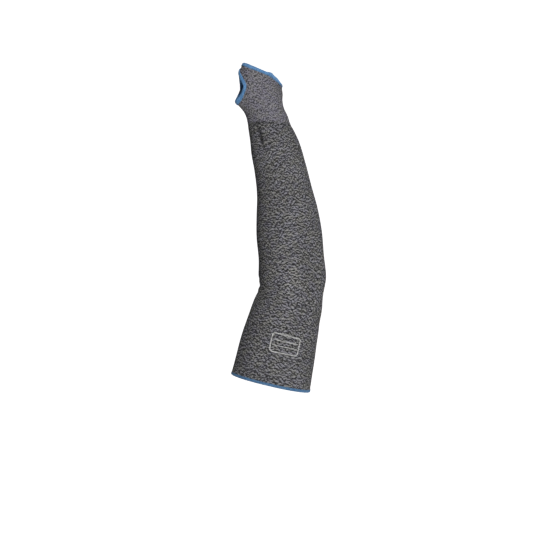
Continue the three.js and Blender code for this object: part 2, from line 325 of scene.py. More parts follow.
    def skin(self, s: Array, t: Array) -> Array:
        """Points of the arm's skin for lengths s and angles t.

        Args:
            s: lengths along the arm.
            t: angles round it.

        Returns:
            The points, with one more axis.
        """
        s, t = np.broadcast_arrays(np.asarray(s, float), np.asarray(t, float))
        section = self.section_table.at(np.maximum(0, s))
        flat = self.outline(section, t)
        radius = np.linalg.norm(flat, axis=-1)
        rise = np.zeros_like(radius)
        for dent in self.dents:
            rise += dent.lift(s, t, radius)
        flat = flat * ((radius + rise) / radius)[..., None]
        lean = np.radians(section[..., 0])
        x, y = flat[..., 0], flat[..., 1]
        return self.spine_at(s) + np.stack([x * np.cos(lean), y, -x * np.sin(lean)], -1)

    def over(self, s: Array, t: Array, out: Array) -> Array:
        """Points over the skin, out along its normal.

        Args:
            s: lengths along the arm.
            t: angles round it.
            out: distances from the skin.

        Returns:
            The points, with one more axis.
        """
        step = self.spine_step
        along_t = self.skin(s, t + SLIGHT_TURN) - self.skin(s, t - SLIGHT_TURN)
        along_s = self.skin(s + step, t) - self.skin(s - step, t)
        return self.skin(s, t) + unit(np.cross(along_t, along_s)) * np.asarray(out)[..., None]

    def walk(self, section: Array, start: float, distance: Array) -> Array:
        """The angles that lie some distances round an outline from a start.

        Args:
            section: the outline's section.
            start: the angle to start from.
            distance: how far to go, in millimetres.

        Returns:
            The angles.
        """
        shares = np.linspace(0, 1, WALK_STEPS + 1)[:, None]
        t = np.full(np.shape(distance), start, float)
        for _ in range(WALK_TRIES):
            path = self.outline(section[None], start + (t - start)[None] * shares)
            arc = np.linalg.norm(np.diff(path, axis=0), axis=-1).sum(0) * np.sign(t - start)
            ahead = self.outline(section, t + SLIGHT_TURN) - self.outline(section, t)
            t = t + (distance - arc) / (np.linalg.norm(ahead, axis=-1) / SLIGHT_TURN)
        return t

    def hole_edge(self, turn: Array) -> Array:
        """Points of the thumb hole's edge, laid flat round its widest place.

        Args:
            turn: angles round the hole.

        Returns:
            Two coordinates for each angle.
        """
        upper = np.sin(turn) > 0
        reach = np.where(upper, self.thumb_hole_widest, 1 - self.thumb_hole_widest)
        wide, none = np.full_like(reach, self.thumb_hole_width), np.zeros_like(reach)
        square = np.where(upper, self.thumb_hole_upper_square, self.thumb_hole_lower_square)
        section = [none, wide, 2 * reach * self.thumb_hole_length, none, square]
        return self.outline(np.stack(section, -1), turn)

    def hole_place(self, turn: Array, share: float, grown: Array, out: Array) -> Array:
        """Points by the thumb hole's edge.

        Args:
            turn: angles round the hole.
            share: share of the hole's size.
            grown: distance outside the hole, along the knit.
            out: distance over the skin.

        Returns:
            The points.
        """
        turn, grown, out = np.broadcast_arrays(turn, grown, out)
        tangent = unit(self.hole_edge(turn + SLIGHT_TURN) - self.hole_edge(turn - SLIGHT_TURN))
        outwards = np.stack([tangent[..., 1], -tangent[..., 0]], -1)
        place = self.hole_edge(turn) * share + outwards * grown[..., None]
        s = self.hole_place_widest + place[..., 1]
        section = self.section_table.at(np.maximum(0, s))
        t = self.walk(section, math.radians(self.thumb_side), place[..., 0])
        return self.over(s, t, out)


class Meshes:
    """Makes mesh objects from arrays of points."""

    @staticmethod
    def link(name: str, mesh: bpy.types.Mesh) -> Piece:
        """Puts a mesh in the scene as a smooth object at the origin.

        Args:
            name: the piece's name.
            mesh: its mesh.

        Returns:
            The new object.
        """
        made = bpy.data.objects.new(name, mesh)
        bpy.context.scene.collection.objects.link(made)
        mesh.polygons.foreach_set("use_smooth", [True] * len(mesh.polygons))
        mesh.update()
        return made

    @staticmethod
    def ring_band(name: str, rings: Array, maps: dict[str, Array], closed: bool) -> Piece:
        """Makes a band of quads through closed rings.

        Args:
            name: the piece's name.
            rings: points in millimetres, as ring, place on it, coordinate.
            maps: UV maps by name. Each has one more place on a ring than rings has, and
                one more ring where the band is closed.
            closed: whether the last ring joins the first one.

        Returns:
            The new object.
        """
        count, size = rings.shape[:2]
        low = np.arange(count if closed else count - 1)
        i, j = np.meshgrid(low, np.arange(size), indexing="ij")
        up, on = (i + 1) % count, (j + 1) % size
        corners = np.stack([i * size + j, i * size + on, up * size + on, up * size + j], -1)
        mesh = bpy.data.meshes.new(name)
        mesh.from_pydata(rings.reshape(-1, 3) * MM, [], corners.reshape(-1, 4).tolist())
        for label, values in maps.items():
            layer = mesh.uv_layers.new(name=label)
            loops = np.stack(
                [values[i, j], values[i, j + 1], values[i + 1, j + 1], values[i + 1, j]], 2
            )
            layer.data.foreach_set("uv", loops.reshape(-1).astype(np.float32))
        return Meshes.link(name, mesh)

    @staticmethod
    def pick(made: Piece) -> None:
        """Makes a piece the active and only selected one."""
        bpy.ops.object.select_all(action="DESELECT")
        bpy.context.view_layer.objects.active = made
        made.select_set(True)

    @staticmethod
    def point_outwards(made: Piece, merge: bool = False) -> None:
        """Turns the faces of a closed shell outwards, with its doubles merged if asked.

        Args:
            made: the shell.
            merge: whether points that meet are merged first.
        """
        Meshes.pick(made)
        bpy.ops.object.mode_set(mode="EDIT")
        bpy.ops.mesh.select_all(action="SELECT")
        if merge:
            bpy.ops.mesh.remove_doubles(threshold=MERGE)
        bpy.ops.mesh.normals_make_consistent(inside=False)
        bpy.ops.object.mode_set(mode="OBJECT")

    @staticmethod
    def report(made: Piece) -> None:
        """Reports a finished piece and how many triangles it has."""
        triangles = sum(len(face.vertices) - 2 for face in made.data.polygons)
        LOG.info("%s: %d triangles", made.name, triangles)


@dataclass(frozen=True)
class Signal:
    """What a socket puts out. Sums with it add Math nodes to its graph."""

    graph: Graph
    socket: Socket

    def __add__(self, other: object) -> Signal:
        """Adds a number or a signal."""
        return self.graph.math("ADD", self, other)

    def __sub__(self, other: object) -> Signal:
        """Takes a number or a signal away."""
        return self.graph.math("SUBTRACT", self, other)

    def __mul__(self, other: object) -> Signal:
        """Multiplies by a number or a signal."""
        return self.graph.math("MULTIPLY", self, other)


class Graph:
    """Adds nodes to a node tree and joins them."""

    def __init__(self, tree: Tree) -> None:
        """Keeps the tree that the nodes go into."""
        self.tree = tree

    def add(self, kind: str, *values: object, **settings: object) -> Node:
        """Adds a node.

        Args:
            kind: the node's type.
            values: what its first inputs get.
            settings: the node's own settings by name.

        Returns:
            The new node.
        """
        node = self.tree.nodes.new(kind)
        for name, value in settings.items():
            setattr(node, name, value)
        for target, value in zip(node.inputs, values):
            self.feed(target, value)
        return node

    def feed(self, target: Socket, value: object) -> None:
        """Joins a socket to a signal, or gives it a plain value.

        Args:
            target: the socket.
            value: the signal or the value.
        """
        if isinstance(value, Signal):
            self.tree.links.new(value.socket, target)
        else:
            target.default_value = value

    def fill(self, node: Node, **values: object) -> Node:
        """Feeds a node's inputs by name, with _ for a space.

        Args:
            node: the node.
            values: what its inputs get, by name.

        Returns:
            The node.
        """
        for name, value in values.items():
            self.feed(node.inputs[name.replace("_", " ")], value)
        return node

    def out(self, node: Node, which: int | str = 0) -> Signal:
        """What a node puts out."""
        return Signal(self, node.outputs[which])

    def math(self, operation: str, *values: object) -> Signal:
        """Adds a Math node on signals or numbers."""
        return self.out(self.add("ShaderNodeMath", *values, operation=operation))

    def mix(self, share: object, low: object, high: object, blend: str = "MIX") -> Signal:
        """Mixes a share of the second colour into the first one.

        Args:
            share: how much of the second colour.
            low: the first colour.
            high: the second colour.
            blend: how they mix.

        Returns:
            The mixed colour.
        """
        node = self.add("ShaderNodeMix", share, data_type="RGBA", blend_type=blend)
        self.feed(node.inputs[FIRST_COLOUR], low)
        self.feed(node.inputs[SECOND_COLOUR], high)
        return self.out(node, MIXED_COLOUR)

    def stretch(self, value: Signal, low: object, high: object) -> Signal:
        """Spreads the values between low and high smoothly over 0 to 1."""
        curve = "SMOOTHSTEP"
        return self.out(
            self.add("ShaderNodeMapRange", value, low, high, interpolation_type=curve)
        )

    def join(self, *numbers: object) -> Signal:
        """Joins two or three numbers into a vector."""
        return self.out(self.add("ShaderNodeCombineXYZ", *numbers))

    def split(self, vector: Signal) -> tuple[Signal, Signal, Signal]:
        """Splits a vector into its three numbers."""
        node = self.add("ShaderNodeSeparateXYZ", vector)
        return tuple(self.out(node, axis) for axis in range(3))

    def uv(self, name: str) -> Signal:
        """The piece's own UV map of a name."""
        return self.out(self.add("ShaderNodeUVMap", uv_map=name))

    def cloud(self, vector: Signal, scale: float, spread: float = 0.2) -> Signal:
        """Soft noise of 0 to 1, with the values within a spread of its middle drawn out."""
        node = self.fill(
            self.add("ShaderNodeTexNoise"), Vector=vector, Scale=scale, Detail=NOISE_DETAIL
        )
        return self.stretch(self.out(node), 0.5 - spread, 0.5 + spread)

    def place(self, group: Tree, **values: object) -> dict[str, Signal]:
        """Places a node group on values for its inputs, and returns what it puts out."""
        node = self.fill(self.add("ShaderNodeGroup", node_tree=group), **values)
        return {socket.name: Signal(self, socket) for socket in node.outputs}


def start_material(name: str) -> tuple[Material, Graph]:
    """Starts a material of a name, and the graph of its nodes."""
    made = bpy.data.materials.new(name)
    made.use_nodes = True
    return made, Graph(made.node_tree)


class Effects:
    """The shader node groups that the materials share."""

    WAVES = ((1.1, 0.0, 0.6), (0.75, 37.0, 0.4))
    YARN = ("Wale", "Course", "Slope", "Spacing", "Evenness", "Contrast", "Sparseness", "Seed")

    def __init__(self) -> None:
        """Builds each group once."""
        self.melange = self._melange()
        self.stitches = self._stitches()
        self.twist = self._twist()

    @staticmethod
    def _group(
        name: str, vectors: Names, numbers: Names, gives: Names
    ) -> tuple[Graph, dict[str, Signal], Node]:
        """Starts a node group.

        Args:
            name: the group's name.
            vectors: the names of the vectors that it takes.
            numbers: the names of the numbers that it takes.
            gives: the names of the numbers that it gives.

        Returns:
            The graph to add nodes to, the inputs by name, and the output node.
        """
        tree = bpy.data.node_groups.new(name, "ShaderNodeTree")
        for names, way, kind in (
            (vectors, "INPUT", "NodeSocketVector"),
            (numbers, "INPUT", "NodeSocketFloat"),
            (gives, "OUTPUT", "NodeSocketFloat"),
        ):
            for label in names:
                tree.interface.new_socket(label, in_out=way, socket_type=kind)
        graph = Graph(tree)
        entry = graph.add("NodeGroupInput")
        takes = {label: graph.out(entry, label) for label in vectors + numbers}
        return graph, takes, graph.add("NodeGroupOutput")

    def _melange(self) -> Tree:
        """Light and dark spun yarn, shaded stitch by stitch in short, crooked streaks."""
        gives = ("Streaks", "Patches", "Fleck", "Fibre")
        graph, takes, leave = self._group("melange yarn", ("Knit", "Stitch"), self.YARN, gives)
        across, along, _ = graph.split(takes["Knit"])
        side, lifted = self._leg(graph, takes["Stitch"], takes["Slope"])
        wale, _, _ = graph.split(takes["Stitch"])
        leg = graph.math("FLOOR", wale * 2.0) * 0.5
        course = graph.math("FLOOR", lifted + 0.5)
        stitch_place = (leg * takes["Wale"], course * takes["Course"])
        layers = []
        for (size, shift, share), (x, y) in zip(self.WAVES, (stitch_place, (across, along))):
            wave = graph.fill(
                graph.add("ShaderNodeTexGabor", gabor_type="2D"),
                Vector=graph.join(x + (takes["Seed"] + shift), y + shift),
                Scale=graph.math("DIVIDE", 1.0, takes["Spacing"] * size),
                Frequency=1.0,
                Anisotropy=takes["Evenness"],
                Orientation_2D=math.pi / 2,
            )
            layers.append(graph.out(wave, "Value") * share)
        both = layers[0] + layers[1]
        middle = takes["Sparseness"] + 0.5
        spot = graph.join(across, along, takes["Seed"])
        graph.fill(
            leave,
            Streaks=graph.stretch(both, middle - takes["Contrast"], middle + takes["Contrast"]),
            Patches=graph.cloud(spot, 0.035),
            Fleck=graph.cloud(spot, 0.11, 0.15),
            Fibre=graph.cloud(graph.join(side * 1.6, lifted * 9.0, course), 1.3),
        )
        return graph.tree

    @staticmethod
    def _leg(graph: Graph, stitch: Signal, slope: Signal) -> tuple[Signal, Signal]:
        """Where a point lies in its stitch.

        Args:
            graph: the graph to add nodes to.
            stitch: wales and courses counted.
            slope: how steeply the two legs of a stitch rise.

        Returns:
            The distance from the wale's middle, and the course that the leg belongs to.
        """
        wale, course, _ = graph.split(stitch)
        side = graph.math("ABSOLUTE", graph.math("FRACT", wale) - 0.5)
        return side, course + side * 2.0 * slope

    def _stitches(self) -> Tree:
        """The relief of knitted stitches: a V of two yarn legs in each cell."""
        gives = ("Height", "Groove", "Cell")
        graph, takes, leave = self._group("knitted stitches", ("Stitch",), ("Slope",), gives)
        side, lifted = self._leg(graph, takes["Stitch"], takes["Slope"])
        wale, _, _ = graph.split(takes["Stitch"])
        leg = graph.math("COSINE", lifted * TURN) * 0.5 + 0.5
        ridge = graph.math("MAXIMUM", graph.math("SINE", side * TURN), 0.0)
        height = graph.math("POWER", leg, 0.7) * graph.math("POWER", ridge, 0.6)
        cell = graph.join(graph.math("FLOOR", wale), graph.math("FLOOR", lifted + 0.5))
        speckle = graph.out(graph.add("ShaderNodeTexWhiteNoise", cell))
        # Painted shade: the groove between the yarn legs, which darkens the knit's colour.
        painted_groove_shade = graph.math("SUBTRACT", 1.0, height)
        graph.fill(leave, Height=height, Groove=painted_groove_shade, Cell=speckle)
        return graph.tree

    def _twist(self) -> Tree:
        """The plies of a thread, as stripes that wind round it."""
        gives = ("Height", "Shade")
        graph, takes, leave = self._group("thread twist", ("Thread",), ("Plies",), gives)
        around, along, _ = graph.split(takes["Thread"])
        wave = graph.math("COSINE", (around * takes["Plies"] + along * 0.9) * TURN)
        shade = graph.cloud(graph.join(around * 2.0, along), 0.35)
        graph.fill(leave, Height=wave * 0.5 + 0.5, Shade=shade)
        return graph.tree


def colour(red: int, green: int, blue: int) -> Colour:
    """A colour as Blender wants it, from its usual numbers of 0 to 255."""
    return tuple(
        c / 12.92 if c <= 0.04045 else ((c + 0.055) / 1.055) ** 2.4
        for c in (red / 255, green / 255, blue / 255)
    ) + (1.0,)


@dataclass(frozen=True)
class PrintPanel:
    """A blank write-in panel printed on the knit, in millimetres and degrees."""

    middle: float = 62.0
    around: float = 278.0
    half_width: float = 19.0
    half_height: float = 13.0
    corner: float = 4.0
    line: float = 0.75
    rules: float = 7.5
    ink: Colour = colour(232, 232, 230)

    def over(self, graph: Graph, base: Signal, streaks: Signal) -> Signal:
        """Prints the panel.

        Args:
            graph: the material's graph.
            base: the knit's colour.
            streaks: the knit's streaks, which show through the print.

        Returns:
            The colour with the print on it.
        """
        x, y, _ = graph.split(graph.uv("Print"))
        far_x = graph.math("ABSOLUTE", x) - (self.half_width - self.corner)
        far_y = graph.math("ABSOLUTE", y) - (self.half_height - self.corner)
        past = graph.join(graph.math("MAXIMUM", far_x, 0.0), graph.math("MAXIMUM", far_y, 0.0))
        length = graph.add("ShaderNodeVectorMath", past, operation="LENGTH")
        inner = graph.math("MINIMUM", graph.math("MAXIMUM", far_x, far_y), 0.0)
        edge = graph.out(length, "Value") + inner - self.corner
        border = graph.math("LESS_THAN", graph.math("ABSOLUTE", edge), self.line)
        inside = graph.math("LESS_THAN", edge, -3.0 * self.line)
        ruled = graph.math("PINGPONG", y + self.rules / 2, self.rules / 2)
        rule = inside * graph.math("LESS_THAN", ruled, 0.7 * self.line)
        cover = graph.math("MAXIMUM", border, rule) * (streaks * 0.45 + 0.5)
        return graph.mix(cover, base, self.ink)


@dataclass(frozen=True)
class Finish:
    """What every material has, with its relief in millimetres."""

    name: str
    relief: float
    roughness: float
    sheen: float
    specular: float

    def close(self, graph: Graph, base: Signal, height: Signal) -> None:
        """Feeds the shader.

        Args:
            graph: the material's graph.
            base: its colour.
            height: its relief, from 0 to 1.
        """
        bump = graph.fill(graph.add("ShaderNodeBump"), Distance=self.relief * MM, Height=height)
        graph.fill(
            graph.tree.nodes["Principled BSDF"],
            Base_Color=base,
            Normal=graph.out(bump),
            Roughness=self.roughness,
            Specular_IOR_Level=self.specular,
            Sheen_Weight=self.sheen,
        )


@dataclass(frozen=True)
class KnitFinish(Finish):
    """How a knit looks: its yarns, streaks and stitches."""

    dark: Colour
    light: Colour
    tint: Colour
    cool: Colour
    yarn: dict[str, float]
    # How strongly painted shade darkens the colour in the grooves between the stitches' yarn legs.
    painted_groove_shade: float
    streak_shares: Spot = (0.8, 0.12, 0.08)
    tint_share: float = 0.35

    def material(self, effects: Effects, panel: PrintPanel | None) -> Material:
        """Builds the material, with a panel printed on it if the knit has one.

        Args:
            effects: the shared node groups.
            panel: the print on the knit, if any.

        Returns:
            The material.
        """
        made, graph = start_material(self.name)
        stitch = graph.uv("Stitch")
        yarn = graph.place(effects.melange, Knit=graph.uv("Knit"), Stitch=stitch, **self.yarn)
        cells = graph.place(effects.stitches, Stitch=stitch, Slope=self.yarn["Slope"])
        streak, cell, fibre = self.streak_shares
        streaks = yarn["Streaks"] * streak + (cells["Cell"] * cell + yarn["Fibre"] * fibre)
        light = graph.mix(yarn["Fleck"], self.light, self.cool)
        base = graph.mix(streaks, self.dark, light)
        base = graph.mix(yarn["Patches"] * self.tint_share, base, self.tint, "MULTIPLY")
        # Painted shade: the stitches' grooves, the spots of painted shade and the gathers under
        # the cuff mix the colour towards black; spots below zero lessen it, as painted highlights.
        shade, _, _ = graph.split(graph.uv("Shade"))
        base = graph.mix(cells["Groove"] * self.painted_groove_shade + shade, base, BLACK)
        if panel is not None:
            base = panel.over(graph, base, streaks)
        self.close(graph, base, cells["Height"])
        return made


@dataclass(frozen=True)
class ThreadFinish(Finish):
    """How a wound thread looks."""

    deep: Colour
    bright: Colour
    plies: float = 3.0
    shade_share: float = 0.65

    def material(self, effects: Effects) -> Material:
        """Builds the material from the shared node groups.

        Args:
            effects: the shared node groups.

        Returns:
            The material.
        """
        made, graph = start_material(self.name)
        ply = graph.place(effects.twist, Thread=graph.uv("Thread"), Plies=self.plies)
        # Painted shade: the colour is lighter on the plies' crests and darker between them, mixed
        # with a random tone along the thread.
        share = ply["Shade"] * self.shade_share + ply["Height"] * (1 - self.shade_share)
        self.close(graph, graph.mix(share, self.deep, self.bright), ply["Height"])
        return made


TUBE_KNIT = KnitFinish(
    name="dark knit",
    dark=colour(6, 6, 8),
    light=colour(216, 215, 211),
    cool=colour(209, 208, 219),
    tint=colour(205, 204, 208),
    yarn={
        "Wale": 1.9, "Course": 1.3, "Slope": 0.42, "Spacing": 3.7,
        "Evenness": 0.42, "Contrast": 0.075, "Sparseness": 0.035, "Seed": 3.0,
    },
    painted_groove_shade=0.5,
    relief=0.6,
    roughness=0.9,
    sheen=0.02,
    specular=0.25,
)
CUFF_KNIT = replace(
    TUBE_KNIT,
    name="light knit",
    dark=colour(25, 25, 28),
    light=colour(201, 199, 202),
    cool=colour(193, 190, 206),
    tint=colour(214, 212, 218),
    yarn={
        "Wale": 1.55, "Course": 1.2, "Slope": 0.5, "Spacing": 3.5,
        "Evenness": 0.3, "Contrast": 0.12, "Sparseness": 0.0, "Seed": 11.0,
    },
    painted_groove_shade=0.42,
    relief=0.5,
)
BLUE_THREAD = ThreadFinish(
    name="blue overlock thread",
    deep=colour(46, 98, 150),
    bright=colour(122, 176, 224),
    relief=0.12,
    roughness=0.6,
    sheen=0.15,
    specular=0.35,
)
# A darker copy of the blue thread, as painted shade on the arm's hem.
SHADED_HEM_THREAD = replace(
    BLUE_THREAD,
    name="deep blue overlock thread",
    deep=colour(39, 85, 129),
    bright=colour(103, 150, 192),
)


@dataclass
class KnitPart:
    """A knitted wall of the sleeve, in millimetres."""

    form: SleeveForm
    name: str
    node: str
    slot: Slot
    finish: KnitFinish
    wales: int
    course: float
    around: int
    rows: int
    inner_rows: int
    flat: tuple[float, float]
    panel: PrintPanel | None = None
    seam: float = math.pi / 2
    # Spots of painted shade on the knit's colour, and of painted highlight where their share is
    # below zero.
    painted_shading: tuple[Dent, ...] = ()

    def limits(self, t: Array) -> tuple[Array, Array]:
        """The lengths at which the wall starts and ends, for each angle."""
        raise NotImplementedError

    def lift(self, s: Array, t: Array) -> tuple[Array, Array]:
        """How far the inner and the outer face lie over the skin."""
        raise NotImplementedError

    def shade(self, s: Array, t: Array) -> Array:
        """How much painted shade lies on the knit, as a share: more in the spots of painted shade,
        and less, a painted highlight, where a spot's share is below zero.
        """
        return sum((shading_spot.rise_at(s, t, self.form) for shading_spot in self.painted_shading), np.zeros_like(s))

    def build(self) -> Piece:
        """Builds the closed wall with its maps of stitches, yarn, painted shade and print."""
        t = self.seam + np.arange(self.around) * TURN / self.around
        start, end = self.limits(t)
        outer_share = np.linspace(0, 1, self.rows)[:, None]
        inner_share = np.linspace(1, 0, self.inner_rows)[:, None]
        shares = np.vstack([outer_share, inner_share])
        s = start + (end - start) * shares
        angle = np.broadcast_to(t, s.shape)
        inside, outside = self.lift(s, angle)
        out = np.where(np.arange(len(shares))[:, None] < self.rows, outside, inside)
        rings = self.form.over(s, angle, out)
        return Meshes.ring_band(self.name, rings, self._maps(s), closed=True)

    def _maps(self, s: Array) -> dict[str, Array]:
        """Works out the UV maps.

        Args:
            s: the length along the arm of each point, as ring and place.

        Returns:
            The maps: stitches counted, millimetres of knit, the share of painted shade, and the
                print's own place.
        """
        s = np.vstack([s, s[:1]])
        s = np.hstack([s, s[:, :1]])
        t = self.seam + np.linspace(0, TURN, self.around + 1)[None, :].repeat(len(s), 0)
        girth = self.form.section_table.at(s)[..., 1:3].mean(-1) * math.pi
        middle = girth.mean(1, keepdims=True)
        shift = s / self.course
        maps = {
            "Knit": np.stack([t / TURN * middle, s], -1),
            "Stitch": np.stack([t / TURN * self.wales, shift], -1),
            # The share of painted shade, which the knit's material reads.
            "Shade": np.stack([self.shade(s, t), np.zeros_like(s)], -1),
        }
        if self.panel is not None:
            radius = girth / TURN
            away = (t - math.radians(self.panel.around)) * radius
            maps["Print"] = np.stack([away, s - self.panel.middle], -1)
        return maps

    def dress(self, made: Piece, effects: Effects) -> None:
        """Args:
            made: the wall.
            effects: the shared node groups.
        """
        made.data.materials.append(self.finish.material(effects, self.panel))
        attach(made, ROOT)
        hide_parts(self.node)


CUFF_FLARE = Dent(387.0, 0, 11.0, 18.0, 1.8)


@dataclass
class ArmTube(KnitPart):
    """The long, darker knit tube, with its pleat, creases and gathers."""

    inset: float = 1.3
    change_gap: float = 0.06
    curl: float = 5.0
    gathers: float = 0.28
    gather_length: float = 16.0
    # Painted shade in the gathers right under the cuff.
    under_cuff_painted_shade: float = 0.2
    creases: tuple[tuple[float, float], ...] = ((0.7, -11.0), (1.1, 1.0), (0.6, 13.0))
    crease_width: float = 3.4
    crease_spread: float = 0.75
    slack: float = 0.16
    # Painted shade in the pleat under the cuff and just under the cuff to its left; a painted
    # highlight down the front of the forearm and elbow; painted shade to the right of that
    # highlight.
    painted_shading: tuple[Dent, ...] = (
        Dent(367.0, 243, 16.0, 4.5, 0.42),
        Dent(380.0, 225, 6.0, 14.0, 0.07),
        Dent(150.0, 266, 60.0, 13.0, -0.13),
        Dent(165.0, 298, 55.0, 11.0, 0.09),
    )
    folds: tuple[Dent, ...] = (
        Dent(366.0, 241, 15.0, 3.2, -2.4),
        Dent(367.0, 254, 13.0, 5.5, 0.8),
        Dent(165.0, 306, 34.0, 12.0, -1.8),
        Dent(172.0, 276, 46.0, 13.0, 0.9),
        Dent(72.0, 182, 58.0, 34.0, 1.6),
        Dent(218.0, 183, 32.0, 26.0, 1.2),
        Dent(103.0, 0, 13.0, 26.0, -1.6),
        CUFF_FLARE,
    )

    def limits(self, t: Array) -> tuple[Array, Array]:
        """From inside the arm edging to the cuff."""
        end = self.form.cuff_start(t) - self.change_gap
        return np.full_like(t, self.inset), end

    def lift(self, s: Array, t: Array) -> tuple[Array, Array]:
        """Eases off the arm towards the cuff, and curls in where it joins it.

        Args:
            s: lengths along the arm.
            t: angles round it.

        Returns:
            How far the inner and the outer face lie over the skin.
        """
        form = self.form
        left = form.cuff_start(t) - s
        ease = form.tube_ease * bell(left / form.tube_ease_length)
        close = bell(left / self.curl)
        inside = ease * (1 - 0.8 * close)
        outside = inside + form.tube_wall - (form.tube_wall - form.cuff_wall) * close
        relief = self._relief(s, t)
        return inside + relief, outside + relief

    def shade(self, s: Array, t: Array) -> Array:
        """Painted shade in the knit's spots of painted shade and highlight, and in the gathers
        right under the cuff.
        """
        left = self.form.cuff_start(t) - s
        return super().shade(s, t) + self.under_cuff_painted_shade * bell(left / self.curl)

    def _relief(self, s: Array, t: Array) -> Array:
        """The low folds of the worn knit, in millimetres outwards.

        Args:
            s: lengths along the arm.
            t: angles round it.

        Returns:
            The relief at each place.
        """
        left = self.form.cuff_start(t) - s
        under_cuff = bell(left / self.gather_length) * (1 - bell(left / (self.curl / 2)))
        gathers = self.gathers * np.sin(19 * t + 0.6 * np.sin(3 * t)) * under_cuff
        past_bend = s - self.form.bend * self.form.length - 5 * np.sin(t * 1.7)
        creases = sum(
            depth * bell((past_bend - shift) / self.crease_width) for depth, shift in self.creases
        )
        inner = bell((t - math.pi) / self.crease_spread)
        slack = np.sin(s / 17.0 + 2.0 * np.sin(t + 1.0)) * np.cos(3 * t + s / 60.0)
        folds = sum(fold.rise_at(s, t, self.form) for fold in self.folds)
        return gathers - creases * inner + self.slack * slack + folds

    def dress(self, made: Piece, effects: Effects) -> None:
        super().dress(made, effects)


@dataclass
class HandCuff(KnitPart):
    """The lighter, tighter knit over the wrist and half of the palm."""

    inset: float = 1.3
    # Painted shade on the cuff's left front, and a painted highlight on its right front.
    painted_shading: tuple[Dent, ...] = (
        Dent(425.0, 225, 45.0, 20.0, 0.08),
        Dent(415.0, 322, 40.0, 14.0, -0.12),
    )
    unevenness: float = 0.1
    fade: float = 6.0
    plug_reach: float = 3.0
    hole_steps: int = 96

    def limits(self, t: Array) -> tuple[Array, Array]:
        """From the tube to inside the hand edging."""
        return self.form.cuff_start(t), self.form.hand_end(t) - self.inset

    def lift(self, s: Array, t: Array) -> tuple[Array, Array]:
        """Lies on the skin, with a little unevenness.

        Args:
            s: lengths along the arm.
            t: angles round it.

        Returns:
            How far the inner and the outer face lie over the skin.
        """
        uneven = self.unevenness * np.sin(s / 7.0 + 2 * t) * np.cos(5 * t)
        fade = np.clip((s - self.form.cuff_start(t)) / self.fade, 0, 1)
        flare = CUFF_FLARE.rise_at(s, t, self.form)
        return flare, flare + self.form.cuff_wall + uneven * fade

    def build(self) -> Piece:
        """Builds the wall and cuts the thumb hole through it."""
        made = super().build()
        plug = self._plug()
        cut = made.modifiers.new("thumb hole", "BOOLEAN")
        cut.operation = "DIFFERENCE"
        cut.solver = "EXACT"
        cut.object = plug
        Meshes.pick(made)
        bpy.ops.object.modifier_apply(modifier=cut.name)
        bpy.data.objects.remove(plug)
        return made

    def _plug(self) -> Piece:
        """The closed solid that cuts the hole."""
        turn = np.arange(self.hole_steps) * TURN / self.hole_steps
        outside = self.form.cuff_wall + self.plug_reach
        stack = [(share, -self.plug_reach) for share in (0.0, 0.35, 0.7, 1.0)]
        stack += [(share, outside) for share in (1.0, 0.7, 0.35, 0.0)]
        rings = np.stack([self.form.hole_place(turn, share, 0.0, out) for share, out in stack])
        made = Meshes.ring_band("thumb hole cut", rings, {}, closed=False)
        Meshes.point_outwards(made, merge=True)
        return made

    def dress(self, made: Piece, effects: Effects) -> None:
        super().dress(made, effects)


